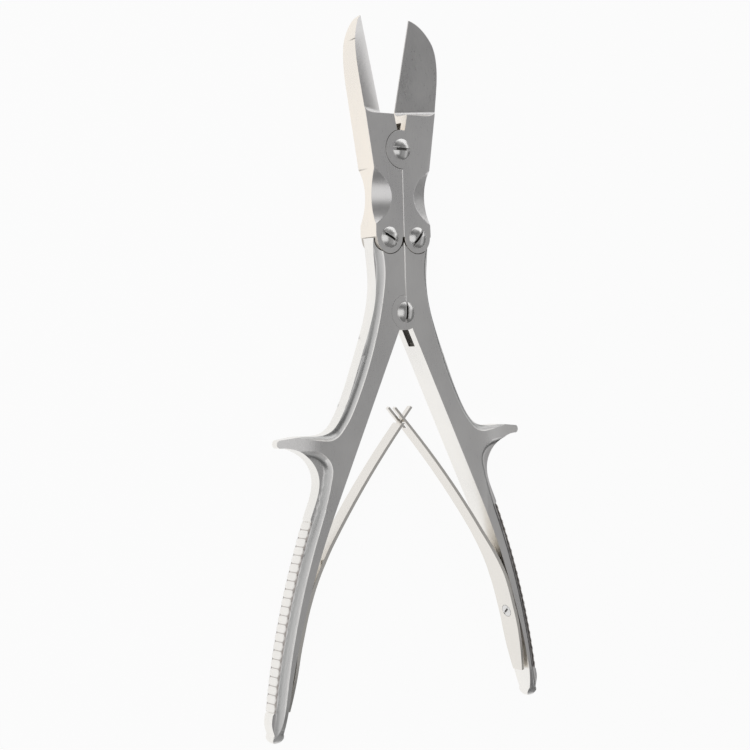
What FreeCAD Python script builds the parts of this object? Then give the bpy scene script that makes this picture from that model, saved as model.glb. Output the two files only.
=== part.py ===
import FreeCAD, Part
import math
import os

import Sketcher
from FreeCAD import Placement, Rotation, Vector

# Double-action bone cutting forceps, lying on its back and fully open.
# The rear pivot is the sketch origin: +Y runs to the blade tips, +X to the right,
# +Z towards the viewer, and z = 0 is the middle of the body's thickness.

sizes = {
    # overall
    "body_thickness": 10.0,
    "tip_reach": 113.0,  # rear pivot to blade tips
    "handle_reach": 155.5,  # rear pivot to handle ends
    # linkage
    "link_offset": 6.6,  # link pivots, sideways from the centre line
    "link_height": 28.4,  # link pivots, above the rear pivot
    "front_height": 61.8,  # front pivot, above the rear pivot
    "closing_angle": 12.5,  # each blade turns this far to close
    # clearances
    "seam_gap": 0.2,
    "disc_gap": 0.2,
    "butt_gap": 0.3,  # between a jaw's tail and its handle, at the outer edge
    "layer_gap": 0.1,
    "running_gap": 0.06,
    "front_pivot_gap": 0.15,
    "thread_gap": 0.03,
    # pivots
    "ear_thickness": 3.1,
    "front_disc_radius": 7.4,
    "rear_disc_radius": 6.7,
    "link_disc_radius": 6.1,
    "front_slot_reach": 10.7,
    "front_slot_depth": 2.5,
    "rear_slot_reach": 14.5,
    "rear_slot_depth": 2.0,
    "screw_radius": 2.5,
    "screw_recess": 0.2,  # screw end below the back face
    "head_radius": 4.0,
    "head_rim": 0.35,
    "head_height": 1.25,
    "driver_slot_width": 0.9,
    "driver_slot_depth": 0.7,
    # jaws
    "jaw_back_width": 18.1,
    "jaw_back_height": 85.0,
    "blade_belly_width": 19.1,
    "blade_belly_height": 96.0,
    "blade_shoulder_height": 75.2,
    "neck_top_width": 13.3,
    "neck_top_height": 54.5,
    "neck_width": 12.7,
    "neck_height": 43.8,
    "edge_height": 1.6,  # cutting edge above the back face
    "edge_land": 0.35,
    "bevel_width": 13.7,
    "back_bevel_width": 2.4,
    "shoulder_radius": 2.6,
    "scoop_radius": 20.5,
    "scoop_front_width": 5.2,
    "scoop_side_depth": 3.0,
    # handles
    "inner_line_x": 35.5,
    "inner_line_y": 74.3,
    "inner_arc_radius": 280.0,
    "waist_width": 12.2,
    "waist_height": 9.0,
    "shank_width": 20.4,
    "shank_drop": 18.0,
    "horn_root_x": 35.0,
    "horn_top_y": 45.7,
    "horn_reach": 57.9,
    "horn_tip_height": 3.0,
    "horn_tip_thickness": 3.2,
    "horn_taper_x": 41.0,  # the horn gets thinner from here to its tip
    "throat_x": 40.3,
    "throat_y": 62.0,
    "grip_top_x": 45.0,
    "grip_top_y": 76.0,
    "grip_bottom_x": 63.4,
    "grip_end_length": 11.5,  # from the grip's lower end to the handle's end
    "grip_radius": 280.0,
    "end_width": 3.6,
    "end_round_length": 16.0,
    "side_thickness": 5.2,
    "flute_width": 4.0,
    "flute_land": 0.7,  # flat strip along the thin outer edge, as wide as the grooves are deep
    "ridge_start_inset": 1.3,
    "ridge_start_lean": 23.3,
    "ridge_neck_x": 9.5,
    "ridge_neck_y": 11.0,
    "ridge_waist_x": 12.6,
    "ridge_waist_drop": 4.0,
    "ridge_shank_x": 25.6,
    "ridge_shank_drop": 36.6,
    "ridge_root_x": 31.5,
    "ridge_hollow_x": 38.5,
    "ridge_hollow_drop": 1.3,
    "ridge_horn_x": 48.0,
    "ridge_throat_x": 35.8,
    "ridge_turn_x": 37.6,
    "ridge_strip_x": 43.3,
    "serration_pitch": 3.2,
    "serration_width": 1.6,
    "serration_depth": 0.55,
    # springs
    "spring_base_thickness": 1.5,
    "spring_tip_thickness": 1.0,
    "spring_foot_thickness": 1.2,
    "spring_base_width": 9.4,
    "spring_leaf_width": 6.4,
    "spring_tip_width": 5.6,
    "spring_seat_gap": 0.15,
    "spring_crossing_drop": 40.3,
    "spring_tip_angle": 43.0,
    "spring_overrun": 6.2,
    "spring_belly_x": 37.2,
    "spring_belly_y": 86.4,
    "spring_mid_x": 18.0,
    "spring_mid_y": 60.8,
    "fork_slot_width": 2.6,
    "fork_slot_length": 11.5,
    "tongue_width": 2.2,
    "tongue_length": 8.6,
    "lift_station": 33.0,
    "screw_station": 48.5,
    "heel_station": 50.5,
    "foot_inset": 8.00,  # from the start of the handle's rounded end
    "foot_rise": 0.8,
    "foot_taper_length": 17.5,
    "foot_end_width": 5.0,
    # spring screws
    "spring_screw_radius": 1.25,
    "spring_head_radius": 2.3,
    "spring_head_depth": 1.1,
    "spring_screw_length": 5.2,
    "spring_driver_slot": 0.6,
}

doc = FreeCAD.newDocument("bone_cutting_forceps")
sheet = doc.addObject("Spreadsheet::Sheet", "Sizes")


class Size:
    """A number together with the sheet expression that gives it."""

    def __init__(self, value, text):
        self.value = value
        self.text = text

    @staticmethod
    def of(other):
        return other if isinstance(other, Size) else Size(float(other), repr(float(other)))

    def join(self, sign, other, value):
        return Size(value, "(%s %s %s)" % (self.text, sign, other.text))

    def __add__(self, other):
        other = Size.of(other)
        return self.join("+", other, self.value + other.value)

    def __sub__(self, other):
        other = Size.of(other)
        return self.join("-", other, self.value - other.value)

    def __mul__(self, other):
        other = Size.of(other)
        return self.join("*", other, self.value * other.value)

    def __truediv__(self, other):
        other = Size.of(other)
        return self.join("/", other, self.value / other.value)

    def __radd__(self, other):
        return Size.of(other) + self

    def __rsub__(self, other):
        return Size.of(other) - self

    def __rmul__(self, other):
        return Size.of(other) * self

    def __neg__(self):
        return Size(-self.value, "(0 - %s)" % self.text)


class Named:
    pass


s = Named()
for row, (alias, value) in enumerate(sizes.items(), start=1):
    sheet.set("A%d" % row, alias)
    sheet.set("B%d" % row, str(value))
    sheet.setAlias("B%d" % row, alias)
    setattr(s, alias, Size(float(value), "Sizes." + alias))
doc.recompute()


def sine(angle):
    return Size(math.sin(math.radians(angle.value)), "sin(%s)" % angle.text)


def cosine(angle):
    return Size(math.cos(math.radians(angle.value)), "cos(%s)" % angle.text)


def tangent(angle):
    return Size(math.tan(math.radians(angle.value)), "tan(%s)" % angle.text)


# sizes that follow from the driving ones
half_thickness = s.body_thickness / 2
half_seam = s.seam_gap / 2
slot_thickness = s.body_thickness - s.ear_thickness * 2
tongue_thickness = slot_thickness - s.layer_gap * 2
corner_radius = s.link_offset - half_seam
outer_at_link = s.link_offset + corner_radius
jaw_foot = s.link_height + s.butt_gap / 2
handle_head = s.link_height - s.butt_gap / 2
tip_x = half_seam + (s.tip_reach - s.front_height) * tangent(s.closing_angle)
rear_pivot_y = (s.handle_reach - s.tip_reach) / 2


# how far a jaw turns against its handle between open and closed
jaw_bar = math.hypot(s.front_height.value - s.link_height.value, s.link_offset.value)
handle_bar = math.hypot(s.link_height.value, s.link_offset.value)
jaw_lean = math.asin(s.link_offset.value / jaw_bar) + math.radians(s.closing_angle.value)
handle_lean = math.asin(jaw_bar * math.sin(jaw_lean) / handle_bar)
handle_turn = math.degrees(handle_lean - math.asin(s.link_offset.value / handle_bar))
link_swing = s.closing_angle.value + handle_turn

# sketch helpers
def plane_of(body, role):
    return next(f for f in body.Origin.OriginFeatures if f.Role == role)


def sketch_on(body, name, wanted=None, role="XY_Plane"):
    sketch = body.newObject("Sketcher::SketchObject", name)
    plane = plane_of(body, role)
    sketch.AttachmentSupport = [(plane, "")]
    sketch.MapMode = "FlatFace"
    if wanted is not None:
        sketch.AttachmentOffset = plane.Placement.inverse() * wanted
    return sketch


def bind(sketch, kind, place, size):
    index = sketch.addConstraint(Sketcher.Constraint(kind, *place, size.value))
    sketch.setExpression("Constraints[%d]" % index, size.text)


def pin(sketch, geometry, point, x, y):
    bind(sketch, "DistanceX", (geometry, point), x)
    bind(sketch, "DistanceY", (geometry, point), y)


def circle(sketch, x, y, radius):
    index = sketch.addGeometry(Part.Circle(Vector(x.value, y.value, 0), Vector(0, 0, 1), radius.value))
    bind(sketch, "Radius", (index,), radius)
    pin(sketch, index, 3, x, y)


def outline(sketch, curves, corners):
    """Joins the curves end to end and pins the given corners to the sheet."""
    ids = [sketch.addGeometry(curve) for curve in curves]
    ends = [(g, p, sketch.getPoint(g, p)) for g in ids for p in (1, 2)]
    taken = set()
    for i, (g, p, here) in enumerate(ends):
        for h, q, there in ends[i + 1:]:
            if g != h and (h, q) not in taken and here.distanceToPoint(there) < 1e-6:
                sketch.addConstraint(Sketcher.Constraint("Coincident", g, p, h, q))
                taken.add((h, q))
    for x, y in corners:
        corner = Vector(x.value, y.value, 0)
        g, p = next((g, p) for g, p, here in ends if here.distanceToPoint(corner) < 1e-6)
        pin(sketch, g, p, x, y)


def flat(x, y):
    return Vector(x.value, y.value, 0)


def line(a, b):
    return Part.LineSegment(flat(*a), flat(*b))


def polygon(sketch, corners):
    outline(sketch, [line(a, b) for a, b in zip(corners, corners[1:] + corners[:1])], corners)


def smooth(points, start=None, finish=None):
    curve = Part.BSplineCurve()
    if start is None:
        curve.interpolate(Points=points)
    else:
        curve.interpolate(Points=points, InitialTangent=start, FinalTangent=finish)
    return curve


# solid features
def pad(body, sketch, length, symmetric=True, direction=None):
    feature = body.newObject("PartDesign::Pad", sketch.Name + "_pad")
    feature.Profile = sketch
    feature.SideType = "Symmetric" if symmetric else "One side"
    feature.setExpression("Length", length.text)
    if direction is not None:
        feature.UseCustomVector = True
        feature.Direction = direction
    sketch.Visibility = False
    return feature


def pocket(body, sketch, length, symmetric=True, reverse=False):
    """Cuts the sketch into the body and checks that the cut removes metal."""
    doc.recompute()
    before = body.Shape.Volume
    feature = body.newObject("PartDesign::Pocket", sketch.Name + "_cut")
    feature.Profile = sketch
    feature.SideType = "Symmetric" if symmetric else "One side"
    feature.Reversed = reverse
    feature.setExpression("Length", length.text)
    doc.recompute()
    assert feature.Shape.Volume < before - 1e-3, feature.Name + " cuts nothing"
    return feature


def mirror_front_to_back(body, feature):
    mirrored = body.newObject("PartDesign::Mirrored", feature.Name + "_back")
    mirrored.Originals = [feature]
    mirrored.MirrorPlane = (plane_of(body, "XY_Plane"), [""])
    body.Tip = mirrored
    return mirrored


def new_body(name, placed=True):
    body = doc.addObject("PartDesign::Body", name)
    body.Label = name
    if placed:
        body.setExpression("Placement.Base.y", rear_pivot_y.text)
        body.setExpression("Placement.Base.z", half_thickness.text)
    return body


def cut_layer(body, name, x, y, radius, clear):
    """A round recess in the front and back layers, leaving the tongue between them."""
    sketch = sketch_on(body, name, Placement(Vector(0, 0, clear.value), Rotation()))
    sketch.setExpression("AttachmentOffset.Base.z", clear.text)
    circle(sketch, x, y, radius)
    recess = pocket(body, sketch, half_thickness, symmetric=False, reverse=True)
    return mirror_front_to_back(body, recess)


def cut_slot(body, name, x, y, radius):
    """A round recess in the middle layer, leaving an ear on each side of it."""
    sketch = sketch_on(body, name)
    circle(sketch, x, y, radius)
    return pocket(body, sketch, slot_thickness)


def corner_wedge(sketch, side, upward):
    """The room that a corner beside the seam sweeps as it turns about the link pivot."""
    radius = corner_radius.value + s.disc_gap.value
    centre = Vector(side * s.link_offset.value, s.link_height.value, 0)

    def at(angle, distance=radius):
        angle = math.radians(angle)
        rise = math.sin(angle) * (1 if upward else -1)
        return centre + Vector(-side * math.cos(angle), rise, 0) * distance

    low, high = -3.0, link_swing + 4
    curves = [Part.LineSegment(at(low, 3.0), at(low)), Part.Arc(at(low), at((low + high) / 2), at(high)),
              Part.LineSegment(at(high), at(high, 3.0)), Part.LineSegment(at(high, 3.0), at(low, 3.0))]
    outline(sketch, curves, [])


def add_disc(body, name, x, y, radius, thickness):
    sketch = sketch_on(body, name)
    circle(sketch, x, y, radius)
    return pad(body, sketch, thickness)


def bore(body, name, x, y, radius):
    sketch = sketch_on(body, name)
    circle(sketch, x, y, radius)
    return pocket(body, sketch, s.body_thickness * 2)


def strip_slot(body, name, side, foot, direction, reach, depth):
    """The cutter's run-out beyond a fork's round slot, along the inner face."""
    sketch = sketch_on(body, name)
    along_x, along_y = direction
    across_x, across_y = -along_y * side, along_x * side
    if across_x.value * side < 0:
        across_x, across_y = -across_x, -across_y
    corners = []
    for length, inset in ((1, -1), (reach, -1), (reach, depth), (1, depth)):
        length = Size.of(length)
        inset = Size.of(inset)
        corners.append((foot[0] + along_x * length + across_x * inset,
                        foot[1] + along_y * length + across_y * inset))
    polygon(sketch, corners)
    return pocket(body, sketch, slot_thickness)


# jaws
def jaw_outline(sketch, side):
    def at(x, y):
        return side * x, Size.of(y)

    seam_foot = at(half_seam, jaw_foot)
    seam_top = at(half_seam, s.front_height)
    tip = at(tip_x, s.tip_reach)
    back = at(s.jaw_back_width, s.jaw_back_height)
    neck_top = at(s.neck_top_width, s.neck_top_height)
    outer_foot = at(outer_at_link, jaw_foot)
    belly = at(s.blade_belly_width, s.blade_belly_height)
    # the back of the blade: two more points carry the curve round to the tip
    shoulder_of_tip = at(tip_x + (s.blade_belly_width - tip_x) * 0.91, s.tip_reach - 10.2)
    near_tip = at(tip_x + (s.blade_belly_width - tip_x) * 0.66, s.tip_reach - 5.5)
    waist = at(s.neck_width, s.neck_height)
    slope = (flat(*back) - flat(*neck_top)) * 0.4
    end_slope = Vector(-side * 6.5, 3.5, 0)
    curves = [
        line(seam_foot, seam_top),
        line(seam_top, tip),
        smooth([flat(*p) for p in (back, belly, shoulder_of_tip, near_tip, tip)], slope, end_slope),
        line(back, neck_top),
        smooth([flat(*neck_top), flat(*waist), flat(*outer_foot)], -1 * slope, Vector(0, -20, 0)),
        line(outer_foot, seam_foot),
    ]
    outline(sketch, curves, [seam_foot, seam_top, tip, back, neck_top, outer_foot])


def blade_relief(side, name):
    """The metal ground away in front of the cutting edge, round at its shoulder."""
    body = new_body(name, placed=False)
    upright = Placement(Vector(0, s.blade_shoulder_height.value, 0),
                        Rotation(Vector(1, 0, 0), Vector(0, 0, 1), Vector(0, -1, 0), "ZXY"))
    sketch = sketch_on(body, name + "_profile", upright)
    sketch.setExpression("AttachmentOffset.Base.y", s.blade_shoulder_height.text)
    edge_x = half_seam + (s.blade_shoulder_height - s.front_height) * tangent(s.closing_angle)
    edge_z = s.edge_height - half_thickness
    above = half_thickness + 3
    polygon(sketch, [
        (side * edge_x, edge_z),
        (side * (edge_x + s.bevel_width), half_thickness),
        (side * (edge_x + s.bevel_width), above),
        (side * (edge_x - 8), above),
        (side * (edge_x - 8), edge_z - 8 * (half_thickness - edge_z) / s.bevel_width),
    ])
    along_edge = Vector(side * sine(s.closing_angle).value, cosine(s.closing_angle).value, 0)
    block = pad(body, sketch, s.tip_reach - s.blade_shoulder_height + 12, symmetric=False,
                direction=along_edge)
    doc.recompute()
    # the long lower edge at the shoulder end
    names = []
    for number, edge in enumerate(block.Shape.Edges, start=1):
        ends = [v.Point for v in edge.Vertexes]
        level = all(abs(p.y - s.blade_shoulder_height.value) < 1e-6 for p in ends)
        sloping = len(ends) == 2 and abs(ends[0].x - ends[1].x) > 5 and abs(ends[0].z - ends[1].z) > 1
        if level and sloping:
            names.append("Edge%d" % number)
    fillet = body.newObject("PartDesign::Fillet", name + "_fillet")
    fillet.Base = (block, names)
    fillet.setExpression("Radius", s.shoulder_radius.text)
    return body


def back_relief(side, name):
    """The narrow bevel on the back of the cutting edge."""
    body = new_body(name, placed=False)
    upright = Placement(Vector(0, s.blade_shoulder_height.value, 0),
                        Rotation(Vector(1, 0, 0), Vector(0, 0, 1), Vector(0, -1, 0), "ZXY"))
    sketch = sketch_on(body, name + "_profile", upright)
    sketch.setExpression("AttachmentOffset.Base.y", s.blade_shoulder_height.text)
    edge_x = half_seam + (s.blade_shoulder_height - s.front_height) * tangent(s.closing_angle)
    edge_z = s.edge_height - half_thickness - s.edge_land
    slope = (edge_z + half_thickness) / s.back_bevel_width
    polygon(sketch, [
        (side * (edge_x - 2), edge_z + slope * 2),
        (side * (edge_x + s.back_bevel_width + 2), -half_thickness - slope * 2),
        (side * (edge_x - 2), -half_thickness - slope * 2),
    ])
    along_edge = Vector(side * sine(s.closing_angle).value, cosine(s.closing_angle).value, 0)
    pad(body, sketch, s.tip_reach - s.blade_shoulder_height + 12, symmetric=False,
        direction=along_edge)
    return body


def cut_scoop(body, name, side):
    """A round hollow ground across the outer edge of the neck, front and back."""
    run = s.neck_width - s.scoop_front_width
    tilt = math.atan2(s.scoop_side_depth.value, run.value)
    outward = Vector(side * math.cos(tilt), 0, -math.sin(tilt))
    upward = Vector(side * math.sin(tilt), 0, math.cos(tilt))
    lowest = Vector(side * s.scoop_front_width.value, s.neck_height.value, half_thickness.value)
    centre = lowest + upward * s.scoop_radius.value
    frame = Placement(centre, Rotation(Vector(0, 1, 0), upward, outward, "ZXY"))
    sketch = sketch_on(body, name, frame)
    index = sketch.addGeometry(Part.Circle(Vector(0, 0, 0), Vector(0, 0, 1), s.scoop_radius.value))
    bind(sketch, "Radius", (index,), s.scoop_radius)
    sketch.addConstraint(Sketcher.Constraint("Coincident", index, 3, -1, 1))
    scoop = pocket(body, sketch, s.neck_width * 5)
    return mirror_front_to_back(body, scoop)


def subtract(body, name, tool):
    doc.recompute()
    before = body.Shape.Volume
    boolean = body.newObject("PartDesign::Boolean", name)
    boolean.Type = "Cut"
    boolean.setObjects([tool])
    doc.recompute()
    assert boolean.Shape.Volume < before - 1e-3, name + " cuts nothing"
    return boolean


def make_jaw(name, side, forked):
    body = new_body(name)
    blank = sketch_on(body, name + "_blank")
    jaw_outline(blank, side)
    pad(body, blank, s.body_thickness)
    front = (Size.of(0), s.front_height)
    link = (side * s.link_offset, s.link_height)
    if forked:
        add_disc(body, name + "_ears", *front, s.front_disc_radius, s.body_thickness)
        cut_slot(body, name + "_fork", *front, s.front_disc_radius + s.disc_gap)
        along = (side * sine(s.closing_angle), cosine(s.closing_angle))
        strip_slot(body, name + "_fork_end", side, front, along, s.front_slot_reach, s.front_slot_depth)
    else:
        add_disc(body, name + "_tongue", *front, s.front_disc_radius, tongue_thickness)
        cut_layer(body, name + "_recess", *front, s.front_disc_radius + s.disc_gap,
                  tongue_thickness / 2)
    add_disc(body, name + "_link_ears", *link, s.link_disc_radius, s.body_thickness)
    cut_slot(body, name + "_link_slot", *link, s.link_disc_radius + s.disc_gap)
    wedge = sketch_on(body, name + "_corner")
    corner_wedge(wedge, side, upward=True)
    pocket(body, wedge, slot_thickness)
    cut_scoop(body, name + "_scoop", side)
    bore(body, name + "_front_bore", *front,
         s.screw_radius + (s.thread_gap if forked else s.front_pivot_gap))
    bore(body, name + "_link_bore", *link, s.screw_radius + s.thread_gap)
    subtract(body, name + "_bevel", blade_relief(side, name + "_relief"))
    subtract(body, name + "_back_bevel", back_relief(side, name + "_back_relief"))
    return body


# handles
inner_run = math.hypot(s.inner_line_x.value - half_seam.value, s.inner_line_y.value)
inner_along = Vector((s.inner_line_x.value - half_seam.value) / inner_run,
                     -s.inner_line_y.value / inner_run, 0)
inner_start = Vector(s.inner_line_x.value, -s.inner_line_y.value, 0)
inner_centre = inner_start + Vector(inner_along.y, -inner_along.x, 0) * s.inner_arc_radius.value


def inner_place(station, inset=0.0):
    """A point of the handle's curved inner face, a distance along it from where it starts."""
    turn = -station / s.inner_arc_radius.value
    spoke = inner_start - inner_centre
    turned = Rotation(Vector(0, 0, 1), math.degrees(turn)).multVec(spoke)
    outward = Vector(turned).normalize()
    return inner_centre + turned - outward * inset


def inner_direction(station):
    spoke = (inner_place(station) - inner_centre).normalize()
    return Vector(spoke.y, -spoke.x, 0)


grip_bottom_y = s.handle_reach - s.grip_end_length
grip_top = Vector(s.grip_top_x.value, -s.grip_top_y.value, 0)
grip_bottom = Vector(s.grip_bottom_x.value, -grip_bottom_y.value, 0)
grip_chord = grip_bottom - grip_top
grip_across = Vector(grip_chord.y, -grip_chord.x, 0).normalize()
grip_centre = (grip_top + grip_bottom) * 0.5 + grip_across * math.sqrt(
    s.grip_radius.value ** 2 - (grip_chord.Length / 2) ** 2)


def grip_place(station, inset=0.0):
    """A point of the grip's outer edge, a distance along it from its top."""
    spoke = (grip_top - grip_centre) * ((s.grip_radius.value - inset) / s.grip_radius.value)
    turn = -math.degrees(station / s.grip_radius.value)
    return grip_centre + Rotation(Vector(0, 0, 1), turn).multVec(spoke)


grip_length = 2 * s.grip_radius.value * math.asin(grip_chord.Length / 2 / s.grip_radius.value)


def mirrored(points, side):
    return [Vector(p.x * side, p.y, 0) for p in points]


def inner_end_station():
    """How far the inner face runs before the rounded end of the handle."""
    station = 60.0
    while inner_place(station).y > -(s.handle_reach.value - s.end_width.value):
        station += 0.25
    return station


def handle_outline(sketch, side):
    seam_top = Vector(half_seam.value, handle_head.value, 0)
    seam_foot = Vector(half_seam.value, 0, 0)
    end_station = inner_end_station()
    inner_end = inner_place(end_station)
    inner_middle = inner_place(end_station / 2)
    outer_end = Vector(inner_end.x + s.end_width.value, inner_end.y, 0)
    end_tip = Vector((inner_end.x + outer_end.x) / 2, -s.handle_reach.value, 0)
    grip_middle = grip_place(grip_length / 2)
    grip_end_direction = Vector(grip_place(grip_length) - grip_place(grip_length - 1))
    horn_top = -s.horn_top_y.value
    horn_low = horn_top - s.horn_tip_height.value
    horn_x = s.horn_reach.value - s.horn_tip_height.value / 2
    horn_tip = Vector(s.horn_reach.value, (horn_top + horn_low) / 2, 0)
    horn_upper = Vector(horn_x, horn_top, 0)
    horn_lower = Vector(horn_x, horn_low, 0)
    throat = Vector(s.throat_x.value, -s.throat_y.value, 0)
    root = Vector(s.horn_root_x.value, horn_top + 1.8, 0)
    shank = Vector(s.shank_width.value, -s.shank_drop.value, 0)
    waist = Vector(s.waist_width.value, s.waist_height.value, 0)
    outer_top = Vector(outer_at_link.value, handle_head.value, 0)
    # the horn is a long fillet above, and a tighter one round the throat below
    under_horn = [horn_lower, Vector((horn_x + throat.x) / 2 + 0.4, horn_low - 1.6, 0),
                  Vector(throat.x + 2.0, (horn_low + throat.y) / 2 - 0.3, 0), throat,
                  Vector((throat.x + grip_top.x) / 2 - 0.7, (throat.y + grip_top.y) / 2, 0), grip_top]
    over_horn = [outer_top, waist, Vector(13.4, 1.5, 0), Vector(16.1, -7.0, 0), shank,
                 Vector(25.1, -29.5, 0), Vector(29.6, -38.2, 0), root,
                 Vector((root.x + horn_x) / 2, horn_top + 0.8, 0), horn_upper]
    grip_start_direction = grip_place(1.0) - grip_top
    m = lambda p: Vector(p.x * side, p.y, 0)
    curves = [
        Part.LineSegment(m(seam_top), m(seam_foot)),
        Part.LineSegment(m(seam_foot), m(inner_start)),
        Part.Arc(m(inner_start), m(inner_middle), m(inner_end)),
        Part.Arc(m(inner_end), m(end_tip), m(outer_end)),
        smooth([m(grip_bottom), m((grip_bottom + outer_end) * 0.5 + Vector(0.75, 0, 0)), m(outer_end)],
               m(grip_end_direction) * 8, m(Vector(-1.2, -4, 0))),
        Part.Arc(m(grip_top), m(grip_middle), m(grip_bottom)),
        smooth(mirrored(under_horn, side), m(Vector(-8, 0.4, 0)), m(grip_start_direction) * 8),
        Part.Arc(m(horn_upper), m(horn_tip), m(horn_lower)),
        smooth(mirrored(over_horn, side), m(Vector(0, -12, 0)), m(Vector(12, -1.2, 0))),
        Part.LineSegment(m(seam_top), m(outer_top)),
    ]
    corners = [(side * half_seam, handle_head),
               (side * s.inner_line_x, -s.inner_line_y),
               (side * s.grip_top_x, -s.grip_top_y),
               (side * s.grip_bottom_x, -grip_bottom_y),
               (side * outer_at_link, handle_head)]
    outline(sketch, curves, corners)


def arc_chain(points, first_direction):
    """Arcs from point to point, each tangent to the one before it, and the direction they end in."""
    curves = []
    direction = Vector(first_direction).normalize()
    for start, end in zip(points, points[1:]):
        chord = end - start
        along = chord.normalize() * 1
        length = start.distanceToPoint(end)
        half_turn = math.atan2(direction.cross(along).z, direction.dot(along))
        if abs(half_turn) < 1e-4:
            curves.append(Part.LineSegment(start, end))
            continue
        lift = length / 2 * math.tan(half_turn / 2)
        middle = (start + end) * 0.5 + Vector(along.y, -along.x, 0) * lift
        curves.append(Part.Arc(start, middle, end))
        direction = Rotation(Vector(0, 0, 1), math.degrees(half_turn)).multVec(along)
    return curves, direction


def cut_flute(body, name, side, curves):
    """A hollow beside the ridge line that thins the handle's outer edge, front and back."""
    path = sketch_on(body, name + "_ridge", Placement(Vector(0, 0, half_thickness.value), Rotation()))
    path.setExpression("AttachmentOffset.Base.z", half_thickness.text)
    outline(path, curves, [])
    edges = ["Edge%d" % (i + 1) for i in range(len(curves))]
    start = curves[0].StartPoint
    along = curves[0].EndPoint - start
    outward = Vector(along.y, -along.x, 0).normalize()
    if outward.x * side < 0:
        outward = outward * -1
    upright = Vector(0, 0, 1)
    frame = Placement(start, Rotation(outward, upright, outward.cross(upright), "ZXY"))
    profile = sketch_on(body, name + "_profile", frame)
    drop = (s.body_thickness - s.side_thickness) / 2
    floor = s.side_thickness / 2
    hollow = s.flute_width - s.flute_land
    radius = (hollow * hollow + drop * drop) / (drop * 2)
    halfway = math.asin(hollow.value / radius.value) / 2
    middle = Vector(hollow.value - radius.value * math.sin(halfway),
                    floor.value + radius.value - radius.value * math.cos(halfway), 0)
    top = (Size.of(0), half_thickness)
    low = (hollow, floor)
    reach = s.flute_width + 2.4
    above = half_thickness + 1
    curves = [Part.Arc(flat(*top), middle, flat(*low)), line(low, (reach, floor)),
              line((reach, floor), (reach, above)), line((reach, above), (Size.of(0), above)),
              line((Size.of(0), above), top)]
    outline(profile, curves, [low, (reach, floor), (reach, above)])
    doc.recompute()
    before = body.Shape.Volume
    flute = body.newObject("PartDesign::SubtractivePipe", name)
    flute.Profile = profile
    flute.Spine = (path, edges)
    flute.Mode = "Standard"
    doc.recompute()
    assert flute.Shape.Volume < before - 1e-3, name + " cuts nothing"
    return mirror_front_to_back(body, flute)


def cut_serrations(body, name, side):
    """Grooves across the grip, evenly spaced along its arc."""
    centre = Vector(side * grip_centre.x, grip_centre.y, 0)
    count = int(grip_length / s.serration_pitch.value) + 1
    first = (grip_length - (count - 1) * s.serration_pitch.value) / 2
    place = grip_place(first)
    spoke = place - grip_centre
    outward = Vector(side * spoke.x, spoke.y, 0).normalize()
    frame = Placement(centre, Rotation(outward, Vector(-outward.y, outward.x, 0), Vector(0, 0, 1), "ZXY"))
    sketch = sketch_on(body, name, frame)
    half = s.serration_width / 2
    crest = s.grip_radius
    clear = s.grip_radius + 1
    polygon(sketch, [(s.grip_radius - s.serration_depth, Size.of(0)), (crest, half), (clear, half),
                     (clear, -half), (crest, -half)])
    groove = pocket(body, sketch, s.body_thickness * 2)
    pattern = body.newObject("PartDesign::PolarPattern", name + "_row")
    pattern.Originals = [groove]
    pattern.Axis = (sketch, ["N_Axis"])
    pattern.Mode = "Spacing"
    pattern.Occurrences = count
    pattern.Offset = math.degrees(s.serration_pitch.value / s.grip_radius.value)
    pattern.Reversed = side > 0
    body.Tip = pattern
    return pattern


def upper_ridge(side):
    """From above the link, down the shank and out along the horn."""
    start = Vector(outer_at_link.value - s.ridge_start_inset.value, s.link_height.value, 0)
    lead = Vector(-math.sin(math.radians(s.ridge_start_lean.value)),
                  -math.cos(math.radians(s.ridge_start_lean.value)), 0)
    horn_top = -s.horn_top_y.value
    points = [start, Vector(s.ridge_neck_x.value, s.ridge_neck_y.value, 0),
              Vector(s.ridge_waist_x.value, -s.ridge_waist_drop.value, 0),
              Vector(s.ridge_shank_x.value, -s.ridge_shank_drop.value, 0),
              Vector(s.ridge_root_x.value, horn_top + 1.1, 0),
              Vector(s.ridge_hollow_x.value, horn_top - s.ridge_hollow_drop.value, 0),
              Vector(s.ridge_horn_x.value, horn_top - s.ridge_hollow_drop.value / 2, 0)]
    arcs, direction = arc_chain([Vector(p.x * side, p.y, 0) for p in points],
                                Vector(lead.x * side, lead.y, 0))
    first = Vector((start - lead * 5).x * side, (start - lead * 5).y, 0)
    last = arcs[-1].EndPoint
    reach = s.horn_reach.value + 3 - s.ridge_horn_x.value
    return [Part.LineSegment(first, arcs[0].StartPoint)] + arcs + [
        Part.LineSegment(last, last + direction * reach)]


def lower_ridge(side):
    """From beyond the handle's end, up beside the grip, round the throat and out along the horn."""
    inset = s.flute_width.value
    low = Vector(grip_place(grip_length, inset))
    high = Vector(grip_place(0.0, inset))
    middle = grip_place(grip_length / 2, inset)
    down = (grip_place(grip_length + 1, inset) - low).normalize()
    up = (grip_place(-0.01, inset) - high).normalize()
    start = low + down * (s.handle_reach.value - grip_bottom_y.value + 4)
    horn_low = -s.horn_top_y.value - s.horn_tip_height.value
    points = [high, Vector(s.ridge_throat_x.value, -s.throat_y.value + 2, 0),
              Vector(s.ridge_turn_x.value, horn_low - 4.7, 0),
              Vector(s.ridge_strip_x.value, horn_low - 1.5, 0)]
    m = lambda p: Vector(p.x * side, p.y, 0)
    arcs, direction = arc_chain([m(p) for p in points], m(up))
    last = arcs[-1].EndPoint
    reach = s.horn_reach.value + 3 - s.ridge_strip_x.value
    return [Part.LineSegment(m(start), m(low)), Part.Arc(m(low), m(middle), m(high))] + arcs + [
        Part.LineSegment(last, last + direction * reach)]


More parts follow.
